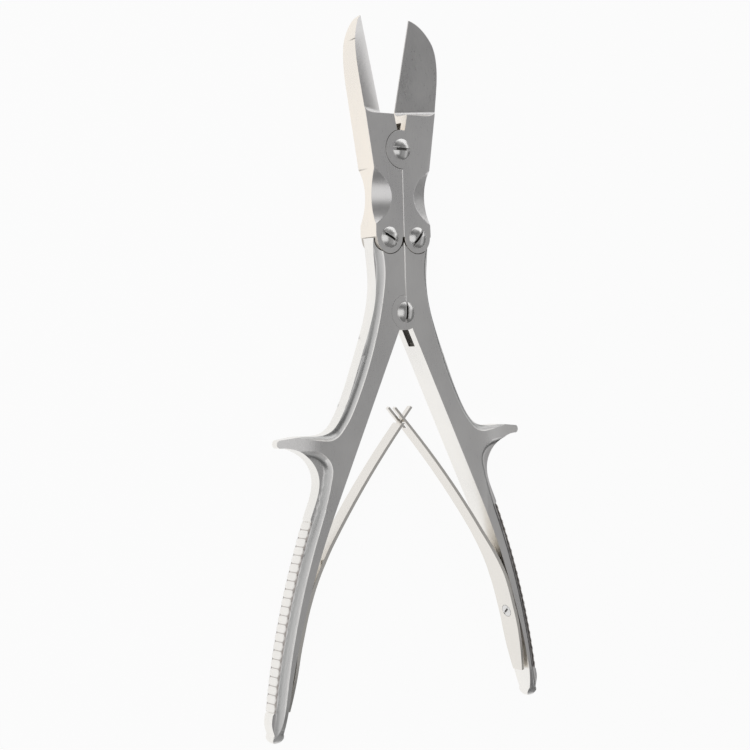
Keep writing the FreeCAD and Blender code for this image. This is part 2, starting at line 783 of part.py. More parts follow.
side_view = Placement(Vector(0, 0, 0), Rotation(Vector(0, 1, 0), Vector(0, 0, 1), Vector(1, 0, 0), "ZXY"))


def round_end(body, name):
    """Seen from the side, the handle's end is half an ellipse."""
    sketch = sketch_on(body, name, side_view)
    start = -s.handle_reach + s.end_round_length
    ellipse = Part.Ellipse(flat(-s.handle_reach, 0 * half_thickness), flat(start, half_thickness),
                           flat(start, 0 * half_thickness))
    above = half_thickness + 1
    beyond = -s.handle_reach - 1
    zero = Size.of(0)
    curves = [Part.ArcOfEllipse(ellipse, 0, math.pi / 2),
              line((-s.handle_reach, zero), (beyond, zero)), line((beyond, zero), (beyond, above)),
              line((beyond, above), (start, above)), line((start, above), (start, half_thickness))]
    outline(sketch, curves, [(start, half_thickness), (-s.handle_reach, zero), (beyond, above)])
    mirror_front_to_back(body, pocket(body, sketch, s.horn_reach * 4))


def taper_horn(body, name, side):
    """The horn gets thinner towards its tip, front and back."""
    above = Vector(0, -s.horn_top_y.value + 3, 0)
    frame = Placement(above, Rotation(Vector(1, 0, 0), Vector(0, 0, 1), Vector(0, -1, 0), "ZXY"))
    sketch = sketch_on(body, name, frame)
    sketch.setExpression("AttachmentOffset.Base.y", (3 - s.horn_top_y).text)
    tip = s.horn_tip_thickness / 2
    slope = (half_thickness - tip) / (s.horn_reach - s.horn_taper_x)
    beyond = s.horn_reach + 1
    polygon(sketch, [(side * s.horn_taper_x, half_thickness), (side * beyond, tip - slope * 1),
                     (side * beyond, half_thickness + 1), (side * s.horn_taper_x, half_thickness + 1)])
    wedge = pocket(body, sketch, s.throat_y - s.horn_top_y, symmetric=False, reverse=True)
    return mirror_front_to_back(body, wedge)


def make_handle(name, side, forked):
    body = new_body(name)
    blank = sketch_on(body, name + "_blank")
    handle_outline(blank, side)
    pad(body, blank, s.body_thickness)
    round_end(body, name + "_end")
    rear = (Size.of(0), Size.of(0))
    link = (side * s.link_offset, s.link_height)
    if forked:
        add_disc(body, name + "_ears", *rear, s.rear_disc_radius, s.body_thickness)
        cut_slot(body, name + "_fork", *rear, s.rear_disc_radius + s.disc_gap)
        along = (Size.of(side * inner_along.x), Size.of(inner_along.y))
        strip_slot(body, name + "_fork_end", side, rear, along, s.rear_slot_reach, s.rear_slot_depth)
    else:
        add_disc(body, name + "_tongue", *rear, s.rear_disc_radius, tongue_thickness)
        cut_layer(body, name + "_recess", *rear, s.rear_disc_radius + s.disc_gap,
                  tongue_thickness / 2)
    add_disc(body, name + "_link_tongue", *link, s.link_disc_radius, tongue_thickness)
    cut_layer(body, name + "_link_recess", *link, s.link_disc_radius + s.disc_gap,
              tongue_thickness / 2)
    wedge = sketch_on(body, name + "_corner", Placement(Vector(0, 0, tongue_thickness.value / 2), Rotation()))
    wedge.setExpression("AttachmentOffset.Base.z", (tongue_thickness / 2).text)
    corner_wedge(wedge, side, upward=False)
    mirror_front_to_back(body, pocket(body, wedge, half_thickness, symmetric=False, reverse=True))
    bore(body, name + "_rear_bore", *rear, s.screw_radius + (s.thread_gap if forked else s.running_gap))
    bore(body, name + "_link_bore", *link, s.screw_radius + s.running_gap)
    cut_serrations(body, name + "_serrations", side)
    for end, curves in (("_upper_flute", upper_ridge(side)), ("_lower_flute", lower_ridge(side))):
        cut_flute(body, name + end, side, curves)
    taper_horn(body, name + "_horn_taper", side)
    cut_spring_screw_hole(body, name + "_spring_hole", side)
    return body


# springs and their screws
def spring_screw_frame(side):
    """On the spring's inner surface at the screw, x along the leaf, z out of the handle."""
    inset = s.spring_seat_gap.value + s.spring_base_thickness.value
    place = inner_place(s.screw_station.value, inset)
    down = inner_direction(s.screw_station.value)
    down = Vector(side * down.x, down.y, 0)
    out = inner_centre - inner_place(s.screw_station.value)
    out = Vector(side * out.x, out.y, 0).normalize()
    return Placement(Vector(side * place.x, place.y, 0),
                     Rotation(down, out.cross(down), out, "ZXY"))


def cut_spring_screw_hole(body, name, side):
    sketch = sketch_on(body, name, spring_screw_frame(side))
    circle(sketch, Size.of(0), Size.of(0), s.spring_screw_radius + s.thread_gap)
    return pocket(body, sketch, s.spring_screw_length + 0.4, symmetric=False)


def spring_curves():
    """The leaf's handle-side edge, from its foot to its tip, and its thickness there."""
    gap = s.spring_seat_gap.value
    foot_station = inner_end_station() - s.foot_inset.value
    foot = inner_place(foot_station, gap + s.foot_rise.value)
    arch = inner_place((s.heel_station.value * 2 + foot_station) / 3, gap + s.foot_rise.value * 0.75)
    heel = inner_place(s.heel_station.value, gap)
    seat = [inner_place(station, gap) for station in (s.screw_station.value, s.lift_station.value)]
    crossing = Vector(0, -s.spring_crossing_drop.value, 0)
    lean = math.radians(s.spring_tip_angle.value)
    tip_direction = Vector(-math.sin(lean), math.cos(lean), 0)
    tip = crossing + tip_direction * s.spring_overrun.value
    belly = Vector(s.spring_belly_x.value, -s.spring_belly_y.value, 0)
    middle = Vector(s.spring_mid_x.value, -s.spring_mid_y.value, 0)
    points = [foot, arch, heel] + seat + [belly, middle, crossing, tip]
    start = (arch - foot).normalize()
    curve = smooth(points, start * 15, tip_direction * s.spring_overrun.value)
    lengths = [0.0]
    for a, b in zip(points, points[1:]):
        lengths.append(lengths[-1] + a.distanceToPoint(b))
    seat_length = lengths[4]
    inner = []
    for point, length in zip(points, lengths):
        share = max(0.0, (length - seat_length) / (lengths[-1] - seat_length))
        thickness = s.spring_base_thickness.value * (1 - share) + s.spring_tip_thickness.value * share
        if length < lengths[2]:
            thickness = s.spring_foot_thickness.value
        direction = curve.tangent(curve.parameter(point))[0].normalize()
        inner.append(point + Vector(-direction.y, direction.x, 0) * thickness)
    return points, inner, curve


def make_spring(name, side, forked):
    body = new_body(name)
    outer, inner, curve = spring_curves()
    leaf = sketch_on(body, name + "_leaf")
    inner_curve = smooth(mirrored(inner, side), *[
        Vector(side * t.x, t.y, 0) * k for t, k in (
            (curve.tangent(curve.FirstParameter)[0].normalize(), 15),
            (curve.tangent(curve.LastParameter)[0].normalize(), s.spring_overrun.value))])
    outer_curve = smooth(mirrored(outer, side), *[
        Vector(side * t.x, t.y, 0) * k for t, k in (
            (curve.tangent(curve.FirstParameter)[0].normalize(), 15),
            (curve.tangent(curve.LastParameter)[0].normalize(), s.spring_overrun.value))])
    ends = mirrored([outer[0], inner[0], outer[-1], inner[-1]], side)
    outline(leaf, [outer_curve, Part.LineSegment(ends[2], ends[3]), inner_curve,
                   Part.LineSegment(ends[1], ends[0])], [])
    pad(body, leaf, s.spring_base_width)
    # seen from the side the leaf narrows from its seat towards its tip
    base = s.spring_base_width / 2
    lift = inner_place(s.lift_station.value).y
    knee = -s.spring_belly_y.value
    top = outer[-1].y + 5
    taper = sketch_on(body, name + "_taper", side_view)
    polygon(taper, [(Size.of(lift), base), (Size.of(knee), s.spring_leaf_width / 2),
                    (Size.of(top), s.spring_tip_width / 2), (Size.of(top), base + 1),
                    (Size.of(lift), base + 1)])
    mirror_front_to_back(body, pocket(body, taper, s.horn_reach * 4))
    foot = outer[0].y
    toe = sketch_on(body, name + "_toe", side_view)
    heel_end = foot + s.foot_taper_length.value
    half_end = s.foot_end_width.value / 2
    full, beyond = base.value, base.value + 1
    toe_bow = Vector((heel_end + foot) / 2, half_end + (full - half_end) * 0.74, 0)
    toe_curves = [Part.Arc(Vector(heel_end, full, 0), toe_bow, Vector(foot - 1, half_end, 0)),
                  Part.LineSegment(Vector(foot - 1, half_end, 0), Vector(foot - 1, beyond, 0)),
                  Part.LineSegment(Vector(foot - 1, beyond, 0), Vector(heel_end, beyond, 0)),
                  Part.LineSegment(Vector(heel_end, beyond, 0), Vector(heel_end, full, 0))]
    outline(toe, toe_curves, [])
    mirror_front_to_back(body, pocket(body, toe, s.horn_reach * 4))
    end = sketch_on(body, name + "_end", side_view)
    if forked:
        root = Size.of(outer[-1].y - s.fork_slot_length.value * math.cos(math.radians(s.spring_tip_angle.value)))
        half = s.fork_slot_width / 2
        polygon(end, [(root, -half), (root, half), (Size.of(top), half), (Size.of(top), -half)])
        pocket(body, end, s.horn_reach * 4)
    else:
        root = Size.of(outer[-1].y - s.tongue_length.value * math.cos(math.radians(s.spring_tip_angle.value)))
        half = s.tongue_width / 2
        polygon(end, [(root, half), (root, base + 1), (Size.of(top), base + 1), (Size.of(top), half)])
        mirror_front_to_back(body, pocket(body, end, s.horn_reach * 4))
    hole = sketch_on(body, name + "_hole", spring_screw_frame(side))
    circle(hole, Size.of(0), Size.of(0), s.spring_head_radius + s.disc_gap)
    pocket(body, hole, s.spring_base_thickness * 4)
    return body


def turned(body, name, profile, frame):
    """A round piece: the half profile, radius against height, turned about the frame's z."""
    sketch = sketch_on(body, name, frame * Placement(Vector(0, 0, 0), Rotation(Vector(1, 0, 0), 90)))
    polygon(sketch, profile)
    feature = body.newObject("PartDesign::Revolution", name + "_turned")
    feature.Profile = sketch
    feature.ReferenceAxis = (sketch, ["V_Axis"])
    feature.Angle = 360
    return feature


def make_pivot_screw(name, x, y, slot_angle):
    body = new_body(name)
    frame = Placement(Vector(x.value, y.value, half_thickness.value), Rotation())
    sketch = sketch_on(body, name + "_profile",
                       frame * Placement(Vector(0, 0, 0), Rotation(Vector(1, 0, 0), 90)))
    zero = Size.of(0)
    end = -s.body_thickness + s.screw_recess
    crown = s.head_radius * 0.55
    polygon(sketch, [(zero, end), (s.screw_radius, end), (s.screw_radius, zero), (s.head_radius, zero),
                     (s.head_radius, s.head_rim), (crown, s.head_height), (zero, s.head_height)])
    screw = body.newObject("PartDesign::Revolution", name + "_turned")
    screw.Profile = sketch
    screw.ReferenceAxis = (sketch, ["V_Axis"])
    screw.Angle = 360
    cut_driver_slot(body, name, frame, slot_angle, s.head_radius, s.driver_slot_width,
                    s.head_height, s.driver_slot_depth)
    return body


def cut_driver_slot(body, name, frame, angle, radius, width, top, depth):
    turned_frame = frame * Placement(Vector(0, 0, top.value), Rotation(Vector(0, 0, 1), angle))
    sketch = sketch_on(body, name + "_slot", turned_frame)
    reach = radius + 1
    polygon(sketch, [(-reach, -width / 2), (reach, -width / 2), (reach, width / 2), (-reach, width / 2)])
    return pocket(body, sketch, depth, symmetric=False)


def make_spring_screw(name, side):
    body = new_body(name)
    frame = spring_screw_frame(side)
    zero = Size.of(0)
    end = -s.spring_screw_length
    turned(body, name + "_profile", [
        (zero, end), (s.spring_screw_radius, end), (s.spring_screw_radius, -s.spring_head_depth),
        (s.spring_head_radius, zero - s.layer_gap), (s.spring_head_radius, zero), (zero, zero)], frame)
    cut_driver_slot(body, name, frame, 40.0, s.spring_head_radius, s.spring_driver_slot, zero,
                    s.spring_head_depth / 2)
    return body


left, right = -1, 1
subparts = [
    make_jaw("left_jaw", left, forked=False),
    make_jaw("right_jaw", right, forked=True),
    make_handle("left_handle", left, forked=False),
    make_handle("right_handle", right, forked=True),
    make_pivot_screw("front_pivot_screw", Size.of(0), s.front_height, -2.0),
    make_pivot_screw("rear_pivot_screw", Size.of(0), Size.of(0), 86.0),
    make_pivot_screw("left_link_screw", left * s.link_offset, s.link_height, -30.0),
    make_pivot_screw("right_link_screw", right * s.link_offset, s.link_height, 50.0),
    make_spring("left_spring", left, forked=False),
    make_spring("right_spring", right, forked=True),
    make_spring_screw("left_spring_screw", left),
    make_spring_screw("right_spring_screw", right),
]
doc.recompute()

# every object has to be sound before anything is written
for thing in doc.Objects:
    assert not {"Invalid", "Error"} & set(thing.State), thing.Name + " failed: " + str(thing.State)
for subpart in subparts:
    shape = subpart.Shape
    assert not shape.isNull() and shape.isValid(), subpart.Label + " has no sound shape"
    assert len(shape.Solids) == 1, subpart.Label + " is not one solid"

os.makedirs("parts", exist_ok=True)
for subpart in subparts:
    subpart.Shape.exportStep("parts/%s.step" % subpart.Label)
    box = subpart.Shape.BoundBox
    print("%-20s %8.1f mm3  %6.1f x %6.1f x %5.1f" % (
        subpart.Label, subpart.Shape.Volume, box.XLength, box.YLength, box.ZLength))
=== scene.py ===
import math

import bmesh
import bpy
import numpy as np
from mathutils import Matrix, Vector


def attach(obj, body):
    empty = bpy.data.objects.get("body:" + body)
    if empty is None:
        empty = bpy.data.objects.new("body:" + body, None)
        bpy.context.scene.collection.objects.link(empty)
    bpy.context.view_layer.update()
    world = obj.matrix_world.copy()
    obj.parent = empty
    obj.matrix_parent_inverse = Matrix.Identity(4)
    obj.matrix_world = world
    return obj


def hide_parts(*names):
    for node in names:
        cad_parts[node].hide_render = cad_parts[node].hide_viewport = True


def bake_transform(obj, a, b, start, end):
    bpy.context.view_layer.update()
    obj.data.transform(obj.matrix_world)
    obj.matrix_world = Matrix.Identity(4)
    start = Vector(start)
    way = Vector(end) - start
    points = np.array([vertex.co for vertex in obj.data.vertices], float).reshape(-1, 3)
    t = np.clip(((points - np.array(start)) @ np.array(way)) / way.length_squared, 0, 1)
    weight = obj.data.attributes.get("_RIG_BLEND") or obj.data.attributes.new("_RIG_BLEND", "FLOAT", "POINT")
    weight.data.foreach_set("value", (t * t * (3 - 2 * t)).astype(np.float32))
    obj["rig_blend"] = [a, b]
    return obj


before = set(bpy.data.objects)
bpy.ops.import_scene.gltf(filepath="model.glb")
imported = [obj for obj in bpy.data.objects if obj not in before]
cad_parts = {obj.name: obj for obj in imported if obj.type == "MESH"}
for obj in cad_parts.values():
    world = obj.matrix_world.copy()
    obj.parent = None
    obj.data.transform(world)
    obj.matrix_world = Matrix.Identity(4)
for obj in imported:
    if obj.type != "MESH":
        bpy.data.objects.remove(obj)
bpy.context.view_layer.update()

mm = 0.001
white = (1, 1, 1, 1)
sides = (("left", -1), ("right", 1))


# shader maths

class Wire:
    # an output socket of a node; + - * with numbers or other wires add Math nodes

    def __init__(self, shader, socket):
        self.shader, self.socket = shader, socket

    def maths(self, operation, other):
        return self.shader.add("Math", {"operation": operation}, self, other)["Value"]

    def __add__(self, other):
        return self.maths("ADD", other)

    def __radd__(self, other):
        return self.maths("ADD", other)

    def __sub__(self, other):
        return self.maths("SUBTRACT", other)

    def __rsub__(self, other):
        return self.shader.add("Math", {"operation": "SUBTRACT"}, other, self)["Value"]

    def __mul__(self, other):
        return self.maths("MULTIPLY", other)

    def __rmul__(self, other):
        return self.maths("MULTIPLY", other)

    def clipped(self):
        return self.shader.add("Clamp", {}, self)["Result"]

    def stepped(self, low, high):
        # 0 below low, 1 above high, a smooth rise between
        settings = {"interpolation_type": "SMOOTHSTEP"}
        return self.shader.add("MapRange", settings, self, low, high, 0.0, 1.0)["Result"]


class Shader:
    # the nodes of one material or of the world; add() makes every one of them

    def __init__(self, owner):
        owner.use_nodes = True
        self.owner, self.tree = owner, owner.node_tree
        self.tree.nodes.clear()

    def add(self, kind, settings, *values, **named):
        # the settings come first, then values for the shown sockets in order, or by name
        node = self.tree.nodes.new("ShaderNode" + kind)
        for key, value in settings.items():
            setattr(node, key, value)
        shown = [socket for socket in node.inputs if socket.enabled]
        filled = list(zip(shown, values))
        filled += [(node.inputs[key.replace("_", " ")], value) for key, value in named.items()]
        for socket, value in filled:
            if isinstance(value, Wire):
                self.tree.links.new(value.socket, socket)
            else:
                socket.default_value = value
        return {out.name: Wire(self, out) for out in node.outputs if out.enabled}

    def noise(self, scale, turn, detail, roughness):
        # on object coordinates in metres, turned, then scaled along each axis
        here = self.add("TexCoord", {})["Object"]
        place = self.add("Mapping", {}, here, (0, 0, 0), turn, scale)["Vector"]
        return self.add("TexNoise", {}, Vector=place, Scale=1.0, Detail=detail, Roughness=roughness)["Fac"]

    def mark(self, name):
        return self.add("Attribute", {"attribute_name": name})["Fac"]

    def blendColours(self, share, first, second):
        return self.add("Mix", {"data_type": "RGBA"}, share, first, second)["Result"]

    def finish(self, surface, output="OutputMaterial"):
        self.add(output, {}, Surface=surface)
        return self.owner


# steels

wearAndPaintedLight = {  # what all the steels share: the real grain, tone and flecks, and how strongly the painted reflection and painted shade are laid on
    "cloudScale": (55, 40, 70),  # per metre: slow changes over centimetres
    "fleckScale": (900, 900, 900),  # small pits
    "cloudTone": 0.7,
    "grainTone": 0.3,
    "toneRange": (0.3, 0.72),
    "cloudGloss": 0.10,
    "fleckGloss": 0.05,
    "grainHeight": 0.6,
    "fleckHeight": 0.4,
    "bumpDepth": 0.00002,  # m
    "evenWall": 0.75,  # the share of a wall's painted reflection colour that the tone leaves alone
    # how dark the painted shade in gaps, slots and grooves gets
    "gapShade": 0.9,
}

# the colour of the painted shade in the joints' gaps
paintedShadeColour = (0.10, 0.095, 0.085)
# dark and light are the steel's own tones; side is a painted reflection on upright walls, hollow is painted
# shade in the flutes, and gap is painted shade in joints, slots and grooves
finishesAndPaintedLight = {
    "jaw": dict(
        dark=(0.72, 0.71, 0.71), light=(0.80, 0.79, 0.78), side=(0.96, 0.895, 0.81),
        hollow=(0.68, 0.675, 0.685), gap=paintedShadeColour, roughness=0.30, grainGloss=0.12, bump=0.25,
        grainScale=(4200, 260, 2600), grainTurn=(0, 0, 0.5),
    ),
    "handle": dict(
        dark=(0.72, 0.71, 0.705), light=(0.80, 0.79, 0.78), side=(0.93, 0.91, 0.875),
        hollow=(0.46, 0.46, 0.455), gap=paintedShadeColour, roughness=0.30, grainGloss=0.12, bump=0.25,
        grainScale=(4200, 260, 2600), grainTurn=(0, 0, 0.15),
    ),
    "spring": dict(
        dark=(0.74, 0.725, 0.70), light=(0.82, 0.80, 0.77), side=(0.84, 0.81, 0.765),
        hollow=(0.6, 0.6, 0.6), gap=paintedShadeColour, roughness=0.24, grainGloss=0.10, bump=0.2,
        grainScale=(2600, 240, 5200), grainTurn=(0, 0, 0),
    ),
    "screw": dict(
        dark=(0.70, 0.695, 0.69), light=(0.78, 0.77, 0.76), gap=(0.09, 0.085, 0.08),
        roughness=0.22, grainGloss=0.08, bump=0.15, grainScale=(1500, 1500, 1500), grainTurn=(0, 0, 0),
    ),
    # the beads' steel is a pale, lit copy of the handle steel, a painted reflection, with painted shade in
    # the grooves
    "grip": dict(
        dark=(0.86, 0.84, 0.81), light=(0.93, 0.91, 0.88), gap=(0.36, 0.325, 0.305),
        roughness=0.32, grainGloss=0.08, bump=0.15, grainScale=(1500, 1500, 1500), grainTurn=(0, 0, 0),
    ),
}


def satinSteel(name, look):
    # a fine brushed grain, slow cloudy changes of tone and gloss, and small flecks; over these a painted
    # reflection on the walls, painted shade in the flutes, and painted shade in the gaps, slots and grooves
    shader = Shader(bpy.data.materials.new(name))
    grain = shader.noise(look["grainScale"], look["grainTurn"], 2.0, 0.6)
    cloud = shader.noise(wearAndPaintedLight["cloudScale"], (0, 0, 0), 3.0, 0.5)
    fleck = shader.noise(wearAndPaintedLight["fleckScale"], (0, 0, 0), 2.0, 0.7)
    tone = (cloud * wearAndPaintedLight["cloudTone"] + grain * wearAndPaintedLight["grainTone"]).stepped(*wearAndPaintedLight["toneRange"])
    colour = shader.blendColours(tone, look["dark"] + (1,), look["light"] + (1,))
    if "side" in look:
        # painted shade: the small faces of the flutes blend towards the darker hollow colour
        colour = shader.blendColours(shader.mark("paintedFluteShadeShare"), colour, look["hollow"] + (1,))
        # painted reflection: upright walls blend towards the pale side colour, which the tone changes only a
        # little
        wall = shader.mark("sideShare") * (wearAndPaintedLight["evenWall"] + tone * (1 - wearAndPaintedLight["evenWall"]))
        colour = shader.blendColours(wall, colour, look["side"] + (1,))
    # painted shade in the joints' gaps, the screws' slots and the grooves between the beads
    inner = shader.mark("paintedShadeShare") * wearAndPaintedLight["gapShade"]
    colour = shader.blendColours(inner, colour, look["gap"] + (1,))
    rough = look["roughness"] + (cloud - 0.5) * wearAndPaintedLight["cloudGloss"] + (grain - 0.5) * look["grainGloss"]
    rough = rough + (fleck - 0.5) * wearAndPaintedLight["fleckGloss"]
    height = grain * wearAndPaintedLight["grainHeight"] + fleck * wearAndPaintedLight["fleckHeight"]
    bump = shader.add("Bump", {}, Strength=look["bump"], Distance=wearAndPaintedLight["bumpDepth"], Height=height)
    metal = shader.add("BsdfPrincipled", {}, Base_Color=colour, Metallic=1.0,
                       Roughness=rough.clipped(), Normal=bump["Normal"])["BSDF"]
    return shader.finish(metal)


steels = {kind: satinSteel(kind + "Steel", look) for kind, look in finishesAndPaintedLight.items()}
print("steels made")


# meshes and pieces

def quadsOf(index):
    # neighbours in a grid of point numbers become four-sided faces
    corners = [index[:-1, :-1], index[:-1, 1:], index[1:, 1:], index[1:, :-1]]
    return np.stack(corners, axis=-1).reshape(-1, 4)


def newMesh(name, points, faces):
    mesh = bpy.data.meshes.new(name)
    mesh.from_pydata((points * mm).tolist(), [], faces)
    return mesh


def markPoints(mesh, name, values):
    layer = mesh.attributes.new(name, "FLOAT", "POINT")
    layer.data.foreach_set("value", np.asarray(values, dtype=np.float32).ravel())


def addPiece(name, mesh, steel, slot, body, *nodes):
    piece = bpy.data.objects.new(name, mesh)
    bpy.context.scene.collection.objects.link(piece)
    mesh.materials.clear()
    mesh.materials.append(steels[steel])
    if body:
        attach(piece, body)
    if nodes:
        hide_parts(*nodes)
    return piece


# the gripping edges

grip = {
    "centre": (-213.933, -161.304),  # mm, of the right handle's gripping edge
    "radius": 280.0,
    "top": (45.0, -54.75),
    "firstGroove": 0.116,
    "pitch": 3.2,
    "grooves": 23,
    "depth": 0.52,  # from a bead's crest to the ground between the beads
    "valley": 0.04,  # the share of it that is left between two beads
    "inset": 0.03,  # below the solid's crest
    "foot": 0.3,  # how far the edges of the beads reach into the handle
    "cover": 0.02,  # the handle's teeth stop this far over the ground, inside the beads
    "inner": 40,  # nothing nearer to the middle is the grip's
    "before": 0.5,  # teeth are lowered from here before the first groove
    "after": 2.4,  # and up to here before the last
    "halfWidth": 3.05,
    "middle": 5.0,  # height above the floor
    "crowding": 0.35,  # how far the columns gather at a bead's ends
    "roundness": (2.2, 5),  # powers along and across a bead
    "shadedRise": 0.30,  # the grooves get painted shade up to this share of the swell
    "rowsEach": 14,
    "columns": 25,
}
gripTop = math.atan2(grip["top"][1] - grip["centre"][1], grip["top"][0] - grip["centre"][0])


def lowerGrip(form):
    # the solid's own teeth go under the beads
    centreX, centreY = grip["centre"]
    ground = grip["radius"] - grip["depth"] + grip["cover"]
    last = grip["pitch"] * grip["grooves"] - grip["after"]
    for vertex in form.verts:
        x, y, z = (value / mm for value in vertex.co)
        sign = math.copysign(1, x)
        reach = math.hypot(abs(x) - centreX, y - centreY)
        station = (gripTop - math.atan2(y - centreY, abs(x) - centreX)) * grip["radius"]
        if abs(x) > grip["inner"] and reach > ground and -grip["before"] < station < last:
            share = ground / reach
            x = sign * (centreX + (abs(x) - centreX) * share)
            y = centreY + (y - centreY) * share
            vertex.co = Vector((x, y, z)) * mm


def gripBeads(side, sign):
    # rows run along the edge, columns across it; each bead is a cushion:
    # height = depth * (1 - |u|^2.2 - |w|^5)^0.5, with u along the bead and w across it from -1 to 1
    count = grip["grooves"] - 1
    along = np.linspace(0, count, count * grip["rowsEach"] + 1)
    gathered = np.sin(np.radians(np.linspace(-90, 90, grip["columns"])))
    even = np.linspace(-1, 1, grip["columns"])
    across = gathered * grip["crowding"] + even * (1 - grip["crowding"])
    u = (along % 1.0) * 2 - 1
    u[-1] = 1.0
    powerAlong, powerAcross = grip["roundness"]
    swell = np.clip(1 - np.abs(u[:, None]) ** powerAlong - np.abs(across[None, :]) ** powerAcross, 0, 1)
    crest = grip["valley"] + (1 - grip["valley"]) * np.sqrt(swell)
    ground = grip["radius"] - grip["depth"]
    reach = ground + (grip["depth"] * crest - grip["inset"])
    reach[:, [0, -1]] = ground - grip["foot"]
    reach[[0, -1]] = ground - grip["foot"]
    angle = gripTop - (grip["firstGroove"] + along * grip["pitch"]) / grip["radius"]
    centreX, centreY = grip["centre"]
    x = sign * (centreX + reach * np.cos(angle)[:, None])
    y = centreY + reach * np.sin(angle)[:, None]
    z = grip["middle"] + across[None, :] * grip["halfWidth"] + 0 * x
    order = slice(None, None, -sign)  # the left side is a mirror image, so its columns run back
    points = np.stack([x, y, z], axis=-1)[:, order]
    index = np.arange(x.size).reshape(x.shape)
    mesh = newMesh(side + "_grip_beads", points.reshape(-1, 3), quadsOf(index).tolist())
    mesh.shade_smooth()
    # painted shade in the grooves between the beads
    low = 1 - np.clip(swell / grip["shadedRise"], 0, 1) ** 0.7
    markPoints(mesh, "paintedShadeShare", low[:, order])
    addPiece(side + "_grip_beads", mesh, "grip", "body_steel", side + "_handle")


for side, sign in sides:
    gripBeads(side, sign)
print("gripping edges made")


# jaws, handles and springs keep their solids' shape and get rounded edges

pivots = {  # mm
    "front": (0.0, 83.05),
    "rear": (0.0, 21.25),
    "leftLink": (-6.6, 49.65),
    "rightLink": (6.6, 49.65),
}

rounding = {
    "bodyEdge": 0.20,  # mm
    "seamEdge": 0.48,  # on the right of the middle seam
    "springEdge": 0.12,
    "segments": 3,
    "springSegments": 2,
    "double": 0.002,  # points closer than this are one
    "smallest": 0.04,  # edges shorter than this are merged too, away from the blades and the ends
    "from": -112.0,
    "to": 90.0,
    "smoothAngle": 4,  # degrees between the solid's normals at one corner
    "sharpAngle": 14,
    "flatAngle": 0.5,
}

inside = {  # mm, a point between these heights is under the front and back faces
    "low": 0.1,
    "high": 9.9,
}

gaps = {
    "halfSeam": 0.1,  # mm, in the solids; what the visible pieces leave
    "shownSeam": 0.02,
    "seamReach": 0.3,
    "discs": [  # place and radius
        (pivots["front"], 7.4),
        (pivots["rear"], 6.7),
        (pivots["leftLink"], 6.1),
        (pivots["rightLink"], 6.1),
    ],
    "narrowed": 2,  # the first discs, at the pivots; the link discs keep their gap
    "discGap": 0.2,
    "shownGap": 0.05,
    "slack": 0.3,  # how far from a disc's edge a face still counts as the disc's
    "linkShade": 0.5,
}

# tilts that set where the painted side reflection and the painted flute shade fall
marks = {
    "wallFrom": 62,  # degrees of tilt, where a face begins to count as a wall
    "wallRise": 12,
    "fluteFrom": 13,
    "fluteRise": 6,
    "fluteArea": 4e-6,  # m2; larger faces are flat sides
    "fadeFrom": 28,
    "fadeRise": 34,
    "fade": 0.85,
}

horn = {
    "taperStart": 41.0,  # mm from the middle, where the solid's horn starts to get thinner
    "taperEnd": 57.9,
    "startHeight": 10.0,
    "endHeight": 6.6,
    "blend": 2.6,  # how softly the taper starts
    "cuts": (34.5, 52.5, 15),  # first and last cut across the horn, and how many
    "from": 33,
    "to": 54,
    "below": -50,  # nothing under this is the horn's
    "skin": 0.7,  # depth that follows the bend
}

bend = {
    "start": (47.5, -84.2),  # mm, where the leaf leaves its handle
    "end": (30.0, -55.0),
    "height": 5.0,
}


def mergedForm(node, width):
    # the node's loose faces joined, with each corner's own normal kept to tell edges from curves
    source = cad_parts[node].data
    normals = np.empty(len(source.loops) * 3, dtype=np.float32)
    source.corner_normals.foreach_get("vector", normals)
    form = bmesh.new()
    form.from_mesh(source)
    kept = form.loops.layers.float_vector.new("solidNormal")
    values = iter(normals.reshape(-1, 3).tolist())
    for face in form.faces:
        face.smooth = True
        for loop in face.loops:
            loop[kept] = next(values)
    bmesh.ops.remove_doubles(form, verts=form.verts, dist=rounding["double"] * mm)
    weights = form.edges.layers.float.new("bevel_weight_edge")
    for edge in form.edges:
        edge.smooth = True
        if not edge.is_manifold:
            continue
        first, second = edge.link_loops
        turns = [Vector(first[kept]).angle(Vector(second.link_loop_next[kept]), 0),
                 Vector(first.link_loop_next[kept]).angle(Vector(second[kept]), 0)]
        edge.smooth = max(turns) < math.radians(rounding["smoothAngle"])
        if min(turns) > math.radians(rounding["sharpAngle"]):
            edge[weights] = 1.0 if isSeam(edge) else width / rounding["seamEdge"]
    middle = [vertex for vertex in form.verts if rounding["from"] < vertex.co.y / mm < rounding["to"]]
    bmesh.ops.remove_doubles(form, verts=middle, dist=rounding["smallest"] * mm)
    return form


def isSeam(edge):
    ends = [vertex.co / mm for vertex in edge.verts]
    beside = all(abs(end.x - gaps["halfSeam"]) < gaps["halfSeam"] / 2 for end in ends)
    return beside and not any(inside["low"] < end.z < inside["high"] for end in ends)


def closeGaps(form):
    # at the front and back faces the running gaps of the seam and the discs are drawn finer
    for vertex in form.verts:
        x, y, z = (value / mm for value in vertex.co)
        if inside["low"] < z < inside["high"] and abs(x) > gaps["seamReach"]:
            continue
        if abs(abs(x) - gaps["halfSeam"]) < 0.004:
            x *= gaps["shownSeam"] / gaps["halfSeam"]
        for (centreX, centreY), radius in gaps["discs"][:gaps["narrowed"]]:
            reach = math.hypot(x - centreX, y - centreY)
            if abs(reach - radius - gaps["discGap"]) < 0.012:
                share = (radius + gaps["shownGap"]) / reach
                x, y = centreX + (x - centreX) * share, centreY + (y - centreY) * share
        vertex.co = Vector((x, y, z)) * mm


def risen(value, start, width):
    # 0 up to start, then an even rise to 1 over the width
    return min(1.0, max(0.0, (value - start) / width))


